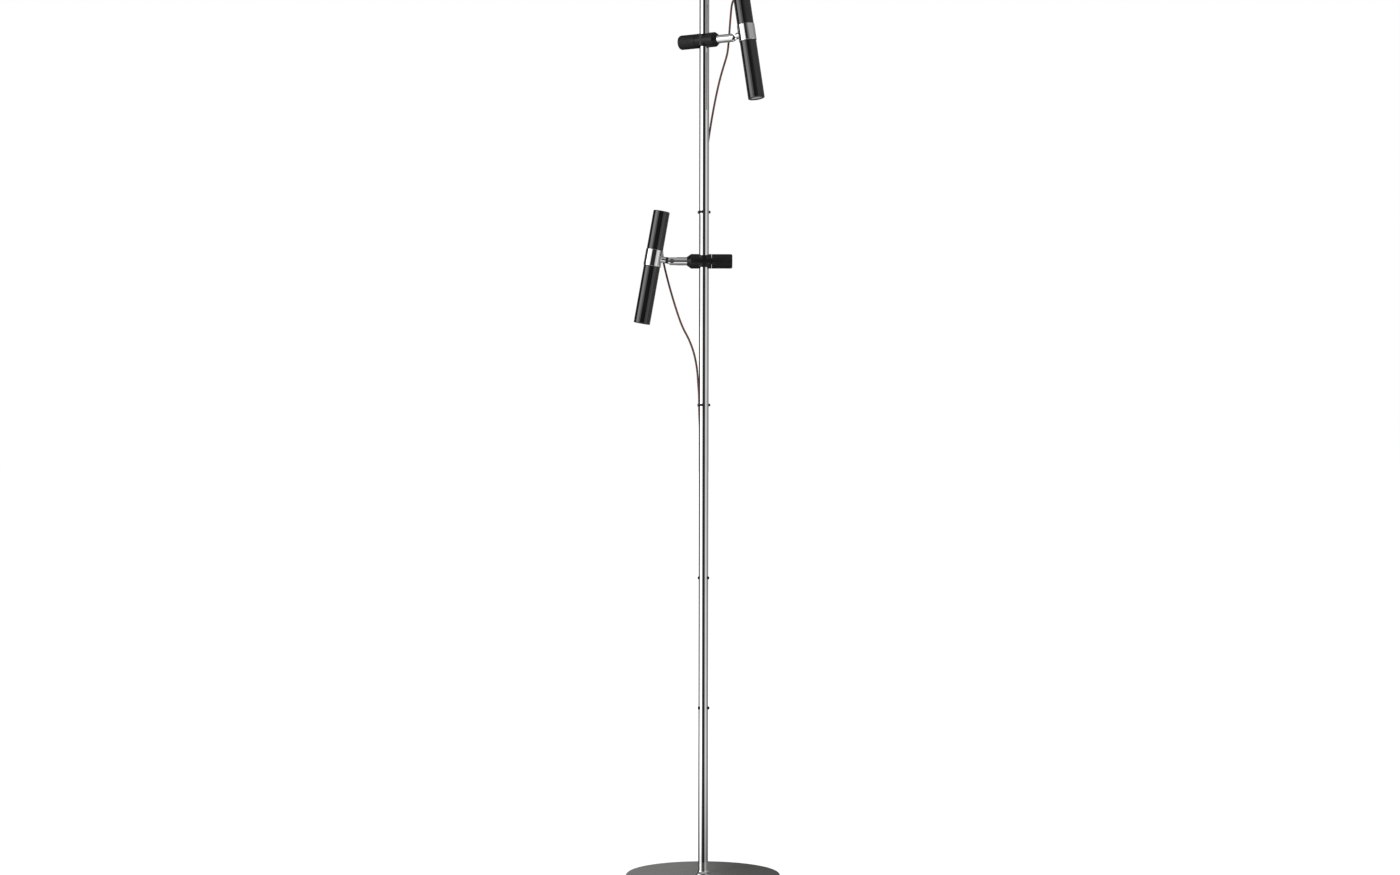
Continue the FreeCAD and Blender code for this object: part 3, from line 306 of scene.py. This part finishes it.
def add(tree, kind, inputs=None, **settings):
    """A new node. Each of its inputs is given a value, or a socket to join to it."""
    node = tree.nodes.new(kind)
    for name, value in settings.items():
        setattr(node, name, value)
    for name, value in (inputs or {}).items():
        if isinstance(value, bpy.types.NodeSocket):
            tree.links.new(value, node.inputs[name])
        else:
            node.inputs[name].default_value = value
    return node


def new_material(name):
    material = bpy.data.materials.new(name)
    material.use_nodes = True
    material.node_tree.nodes.clear()
    return material, material.node_tree


def math_node(tree, operation, a, b=0.0):
    return add(tree, "ShaderNodeMath", {0: a, 1: b}, operation=operation).outputs[0]


def noise(tree, place, scale, detail=3.0, roughness=0.55):
    inputs = {"Vector": place, "Scale": scale, "Detail": detail, "Roughness": roughness}
    return add(tree, "ShaderNodeTexNoise", inputs).outputs["Fac"]


def between(tree, factor, low, high, near=0.3, far=0.7):
    """Turns a factor from near to far into a value from low to high."""
    inputs = {"Value": factor, "From Min": near, "From Max": far, "To Min": low, "To Max": high}
    return add(tree, "ShaderNodeMapRange", inputs, clamp=True).outputs["Result"]


def shade(tree, factor, dark, light):
    """A colour between two others."""
    node = add(tree, "ShaderNodeMix", {"Factor": factor}, data_type="RGBA")
    node.inputs[6].default_value = (*dark, 1)
    node.inputs[7].default_value = (*light, 1)
    return node.outputs[2]


def own_place(tree):
    """Object coordinates."""
    return add(tree, "ShaderNodeTexCoord").outputs["Object"]


def surface(
    name, colors, rough, metallic=0.0, patch=60.0, grain=900.0, depth=0.00001, coat=0.0, level=0.5
):
    """A finish whose colour and gloss vary in patches, with a fine grain.

    Colours and roughness are given as two limits each, patch and grain as the scale of their noise.
    Depth is the grain's height in metres.
    """
    material, tree = new_material(name)
    place = own_place(tree)
    patches = noise(tree, place, patch)
    fine = noise(tree, place, grain, detail=4.0)
    bump = add(tree, "ShaderNodeBump", {"Height": fine, "Strength": 1.0, "Distance": depth})
    inputs = {
        "Base Color": shade(tree, between(tree, patches, 0.0, 1.0), *colors),
        "Metallic": metallic,
        "Roughness": between(tree, noise(tree, place, patch * GLOSS_PATCH), *rough),
        "Normal": bump.outputs["Normal"],
        "Coat Weight": coat,
        "Coat Roughness": COAT_ROUGHNESS,
        "Specular IOR Level": level,
    }
    shader = add(tree, "ShaderNodeBsdfPrincipled", inputs)
    add(tree, "ShaderNodeOutputMaterial", {"Surface": shader.outputs["BSDF"]})
    return material


def grey(value):
    return (value, value, value)


def mixed(tree, factor, a, b):
    """A number between two others."""
    return add(tree, "ShaderNodeMix", {"Factor": factor, "A": a, "B": b}).outputs["Result"]


def braid(name, dark, light):
    """Braided textile over a round cord: two sets of strands that cross, from the tube's own UV map. Its colour
    is darker where the strands dip: painted shade in the grooves.
    """
    material, tree = new_material(name)
    uv = add(tree, "ShaderNodeUVMap", uv_map="tube").outputs["UV"]
    turn, along, _ = add(tree, "ShaderNodeSeparateXYZ", {"Vector": uv}).outputs
    round_it = math_node(tree, "MULTIPLY", turn, 2 * math.pi * BRAID_STRANDS)
    down_it = math_node(tree, "MULTIPLY", along, 2 * math.pi * BRAID_STRANDS / BRAID_PITCH)
    left = math_node(tree, "SINE", math_node(tree, "ADD", round_it, down_it))
    right = math_node(tree, "SINE", math_node(tree, "SUBTRACT", round_it, down_it))
    height = math_node(tree, "MULTIPLY", left, right)
    raised = between(tree, height, 0.0, 1.0, -BRAID_EDGE, BRAID_EDGE)
    bump = add(tree, "ShaderNodeBump", {"Height": raised, "Strength": 1.0, "Distance": BRAID_DEPTH})
    inputs = {
        # painted shade: the colour goes darker down in the grooves between the strands
        "Base Color": shade(tree, raised, dark, light),
        "Roughness": BRAID_ROUGHNESS,
        "Sheen Weight": BRAID_SHEEN,
        "Normal": bump.outputs["Normal"],
    }
    shader = add(tree, "ShaderNodeBsdfPrincipled", inputs)
    add(tree, "ShaderNodeOutputMaterial", {"Surface": shader.outputs["BSDF"]})
    return material


PAINT_GREYS = ((0.098, 0.094, 0.090), (0.112, 0.108, 0.104))
ZINC_GREYS = ((0.55, 0.55, 0.53), (0.66, 0.66, 0.65))
BRASS_YELLOWS = ((0.60, 0.43, 0.19), (0.70, 0.52, 0.26))
# The cord's brown on its strands, and a darker brown painted as shade in the braid's grooves.
CORD_BROWN_AND_GROOVE_SHADE = ((0.090, 0.034, 0.030), (0.175, 0.080, 0.070))
NEAR_BLACK = (grey(0.006), grey(0.010))
SATIN = (0.4, 0.5)

LOOKS = {
    "felt": surface("felt", (grey(0.045), grey(0.07)), (0.9, 1.0), patch=300, grain=2500, depth=0.0001),
    "cast_iron": surface("cast iron", (grey(0.12), grey(0.17)), (0.6, 0.8), 0.6, grain=700, depth=0.00005),
    "base_grey": surface("lacquered paint", PAINT_GREYS, SATIN, patch=14, grain=1600, depth=0.000003, coat=1.0),
    "chrome": surface("chrome", (grey(0.73), grey(0.77)), (0.03, 0.05), 1.0, patch=30, depth=0.00000005),
    "zinc_steel": surface("zinc plated steel", ZINC_GREYS, (0.25, 0.4), 1.0, patch=200, grain=1500),
    "brass": surface("brass", BRASS_YELLOWS, (0.25, 0.4), 1.0, patch=200, grain=1500),
    "nylon": surface("nylon", (grey(0.55), grey(0.62)), SATIN),
    "clamp_black": surface(
        "satin black paint", NEAR_BLACK, (0.30, 0.38), grain=2200, depth=0.000003, level=0.24
    ),
    "knob_black": surface(
        "black knob plastic", NEAR_BLACK, (0.32, 0.42), grain=1900, depth=0.000004, level=0.24
    ),
    "head_black": surface(
        "gloss black lacquer", NEAR_BLACK, (0.06, 0.10), patch=25, grain=260, depth=0.000001, level=0.75
    ),
    "lens_frost": surface("frosted lens", (grey(0.78), grey(0.84)), SATIN, patch=200, grain=3000),
    "reflector": surface("reflector", (grey(0.82), grey(0.88)), (0.15, 0.25), 1.0),
    "heat_sink": surface("anodised heat sink", (grey(0.3), grey(0.36)), SATIN, 1.0),
    "led_board": surface("LED board", (grey(0.7), grey(0.78)), SATIN),
    "black_rubber": surface("black rubber", (grey(0.012), grey(0.02)), (0.5, 0.65), grain=1500, depth=0.00003),
    "clip_plastic": surface("black clip plastic", NEAR_BLACK, (0.3, 0.42), patch=300, grain=2500, level=0.3),
    "terminal_plastic": surface("terminal plastic", (grey(0.6), grey(0.7)), SATIN),
    "wire_white": surface("white wire", (grey(0.6), grey(0.7)), SATIN),
    "friction_washer": surface("friction washer", (grey(0.04), grey(0.06)), (0.5, 0.6)),
    "cord_brown": braid("brown textile cord", *CORD_BROWN_AND_GROOVE_SHADE),
}


def dress_nodes():
    """Gives each CAD node the finish of its slot in the record."""
    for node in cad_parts.values():
        slot = node.data.materials[0].name
        node.data.materials[0] = LOOKS[slot]


# ---------------------------------------------------------------- studio
FLOOR_REACH = 60.0
FLOOR_SIDES = 128
FLOOR_GREYS = (grey(0.44), grey(0.47))
FLOOR_PATCH = 90.0
FLOOR_GLOW = 0.70  # near the object, where its shadow falls
GLOW_FULL_FROM, GLOW_FULL_AT = 0.7, 2.6  # from the pole
PLAIN_LIGHT = 0.45  # the world's even light on the object
SOFTBOXES = [  # name, place, the point it faces, width in metres and power in watts
    ("key", (-2.6, -2.4, 2.9), (0, 0, 0.8), 1.6, 95),
    ("fill", (3.0, -1.6, 2.2), (0, 0, 0.9), 1.6, 35),
]
# What glossy surfaces see round the object. Each row is an azimuth from the camera's side, in degrees to the
# right, and the radiance from there to the next row's azimuth. A large softbox stands to the left with a
# white screen in front of it. Paler screens stand to the right and at the back, and it is dark behind the
# camera.
SURROUNDINGS = [
    (-180, 0.30),
    (-152, 0.05),
    (-90, 2.8),
    (-50, 1.15),
    (-29, 0.03),
    (30, 0.72),
    (54, 1.05),
    (66, 0.50),
    (92, 0.30),
    (168, 0.05),
]
SOFT_EDGE = 2.0  # degrees over which one passes into the next
BACK_EDGE_SHIFT = 0.1095  # the edge between the two screens at the back leans, as the base's top shows it
BACK_EDGE_SLOPE = 0.698
# Above and below that ring, by elevation. The first value holds in front of the object, the second behind it.
CEILING_FROM = math.radians(22)
CEILING, CEILING_BEHIND = 0.42, 0.10
LOW_TO, LOW_FROM = math.radians(-7.2), math.radians(-9.5)  # the ring dims from the first to the second
LOW_DIM = 0.40
GROUND_FROM = math.radians(-24)
GROUND, GROUND_BEHIND = 1.15, 0.12
DEEP_FROM = math.radians(-46)  # the ground near the object
GROUND_DEEP = 0.45
BEHIND_NEAR, BEHIND_FAR = 0.25, 0.35  # how far back a direction points where the front passes into the back
BRIGHTEST = max(value for _, value in SURROUNDINGS)


def surroundings_ramp(tree, azimuth):
    """Radiance by azimuth, over the brightest."""
    ramp = add(tree, "ShaderNodeValToRGB", {"Fac": between(tree, azimuth, 0.0, 1.0, -math.pi, math.pi)})
    elements = ramp.color_ramp.elements
    stops = [(0.0, SURROUNDINGS[0][1])]
    for (_, before), (degrees, value) in zip(SURROUNDINGS, SURROUNDINGS[1:]):
        stops.append(((degrees - SOFT_EDGE / 2 + 180) / 360, before))
        stops.append(((degrees + SOFT_EDGE / 2 + 180) / 360, value))
    while len(elements) < len(stops):
        elements.new(0.5)
    for element, (position, value) in zip(elements, stops):
        element.position = position
        element.color = (*grey(value / BRIGHTEST), 1)
    return math_node(tree, "MULTIPLY", ramp.outputs["Color"], BRIGHTEST)


def leaning_azimuth(tree, x, y, z):
    """Azimuth from the camera's side. At the back its seam leans with height."""
    behind = math_node(tree, "MAXIMUM", y, 0.0)
    lean = math_node(tree, "SUBTRACT", BACK_EDGE_SHIFT, math_node(tree, "MULTIPLY", z, BACK_EDGE_SLOPE))
    across = math_node(tree, "ADD", x, math_node(tree, "MULTIPLY", behind, lean))
    return math_node(tree, "ARCTAN2", across, math_node(tree, "MULTIPLY", y, -1.0))


def add_world():
    """White behind the object, an even light on it, and the studio's screens for glossy surfaces."""
    world = bpy.data.worlds.new("studio")
    world.use_nodes = True
    tree = world.node_tree
    tree.nodes.clear()
    direction = add(tree, "ShaderNodeTexCoord").outputs["Generated"]
    x, y, z = add(tree, "ShaderNodeSeparateXYZ", {"Vector": direction}).outputs
    ring = surroundings_ramp(tree, leaning_azimuth(tree, x, y, z))
    back = between(tree, y, 0.0, 1.0, BEHIND_NEAR, BEHIND_FAR)
    soft = math.radians(SOFT_EDGE)
    above = between(tree, z, 0.0, 1.0, math.sin(CEILING_FROM) - soft, math.sin(CEILING_FROM) + soft)
    below = between(tree, z, 1.0, 0.0, math.sin(GROUND_FROM) - soft, math.sin(GROUND_FROM) + soft)
    lit = mixed(tree, above, ring, mixed(tree, back, CEILING, CEILING_BEHIND))
    low = between(tree, z, LOW_DIM, 1.0, math.sin(LOW_FROM), math.sin(LOW_TO))
    lit = mixed(tree, low, 0.0, lit)
    deep = between(tree, z, 1.0, 0.0, math.sin(DEEP_FROM) - soft, math.sin(DEEP_FROM) + soft)
    far_ground = mixed(tree, back, GROUND, GROUND_BEHIND)
    near_ground = mixed(tree, back, GROUND_DEEP, GROUND_BEHIND)
    lit = mixed(tree, below, lit, mixed(tree, deep, far_ground, near_ground))
    path = add(tree, "ShaderNodeLightPath").outputs
    glossy = mixed(tree, path["Is Glossy Ray"], PLAIN_LIGHT, lit)
    seen = math_node(tree, "MAXIMUM", path["Is Camera Ray"], path["Is Transmission Ray"])
    background = add(tree, "ShaderNodeBackground", {"Strength": mixed(tree, seen, glossy, 1.0)})
    background.inputs["Color"].default_value = WHITE
    add(tree, "ShaderNodeOutputWorld", {"Surface": background.outputs["Background"]})
    bpy.context.scene.world = world


def add_floor():
    """A pale floor that keeps the object's shadow and is white where the camera sees the rest of it."""
    mesh = bpy.data.meshes.new("floor")
    turns = [2 * math.pi * i / FLOOR_SIDES for i in range(FLOOR_SIDES)]
    rim = [(FLOOR_REACH * math.cos(t), FLOOR_REACH * math.sin(t), 0) for t in turns]
    mesh.from_pydata(rim, [], [list(range(len(rim)))])
    floor = bpy.data.objects.new("floor", mesh)
    collection.objects.link(floor)
    floor.visible_glossy = False
    material, tree = new_material("floor")
    place = own_place(tree)
    distance = add(tree, "ShaderNodeVectorMath", {0: place}, operation="LENGTH").outputs["Value"]
    white = between(tree, distance, FLOOR_GLOW, 1.0, GLOW_FULL_FROM, GLOW_FULL_AT)
    path = add(tree, "ShaderNodeLightPath").outputs
    seen = math_node(tree, "MAXIMUM", path["Is Camera Ray"], path["Is Transmission Ray"])
    inputs = {
        "Base Color": shade(tree, noise(tree, place, FLOOR_PATCH), *FLOOR_GREYS),
        "Roughness": 0.9,
        "Specular IOR Level": 0.0,
        "Emission Color": WHITE,
        "Emission Strength": math_node(tree, "MULTIPLY", seen, white),
    }
    shader = add(tree, "ShaderNodeBsdfPrincipled", inputs)
    add(tree, "ShaderNodeOutputMaterial", {"Surface": shader.outputs["BSDF"]})
    mesh.materials.append(material)


def add_lamp(name, place, target, size, power):
    """A softbox that lights the object evenly. Reflections see the surroundings instead of it."""
    data = bpy.data.lights.new(name, "AREA")
    data.shape = "SQUARE"
    data.size = size
    data.energy = power
    lamp = bpy.data.objects.new(name, data)
    lamp.location = place
    lamp.rotation_euler = (Vector(target) - Vector(place)).to_track_quat("-Z", "Y").to_euler()
    lamp.visible_glossy = False
    collection.objects.link(lamp)


def add_studio():
    add_world()
    add_floor()
    for softbox in SOFTBOXES:
        add_lamp(*softbox)
    bpy.context.scene.view_settings.view_transform = "Standard"


# ---------------------------------------------------------------- the build
# Each cord in the pieces that its joints need, from its top down, as add_cord takes them.
CORD_LOOK = LOOKS["cord_brown"]
UPPER_FREE_PIECES = [
    ("upper_cord_at_head", 1.620, ("upper_head", "upper_clamp"), None),
    ("upper_cord_at_clamp", 1.555, ("upper_clamp", "upper_slider"), None),
    ("upper_cord_to_clip", 1.298, ("upper_slider", "root"), None),
]
LOWER_FREE_PIECES = [
    ("lower_cord_at_head", 1.215, ("lower_head", "lower_clamp"), None),
    ("lower_cord_at_clamp", 1.130, ("lower_clamp", "lower_slider"), None),
    ("lower_cord_to_clip", 0.924, ("lower_slider", "root"), None),
]
UPPER_MID_PIECES = [
    ("upper_cord_below_clip", 1.250, ("root", "lower_slider"), None),
    ("upper_cord_over_clamp", 1.203, ("lower_slider", "lower_clamp"), (1.250, 1.217)),
    ("upper_cord_past_clamp", 1.140, ("lower_clamp", "lower_slider"), (1.188, 1.140)),
    ("upper_cord_to_upper_clip", 0.924, ("lower_slider", "root"), None),
]

dress_nodes()
add_cord(UPPER_FREE_ROUTE, UPPER_FREE_PIECES, "upper_free_cord", CORD_LOOK)
add_cord(LOWER_FREE_ROUTE, LOWER_FREE_PIECES, "lower_free_cord", CORD_LOOK)
add_cord(UPPER_MID_ROUTE, UPPER_MID_PIECES, "upper_cord_mid", CORD_LOOK)
add_cord(pole_route(1), [("upper_cord_on_pole", 0.0, ("root",), None)], "upper_pole_cord", CORD_LOOK)
add_cord(pole_route(-1), [("lower_cord_on_pole", 0.0, ("root",), None)], "lower_pole_cord", CORD_LOOK)
add_studio()
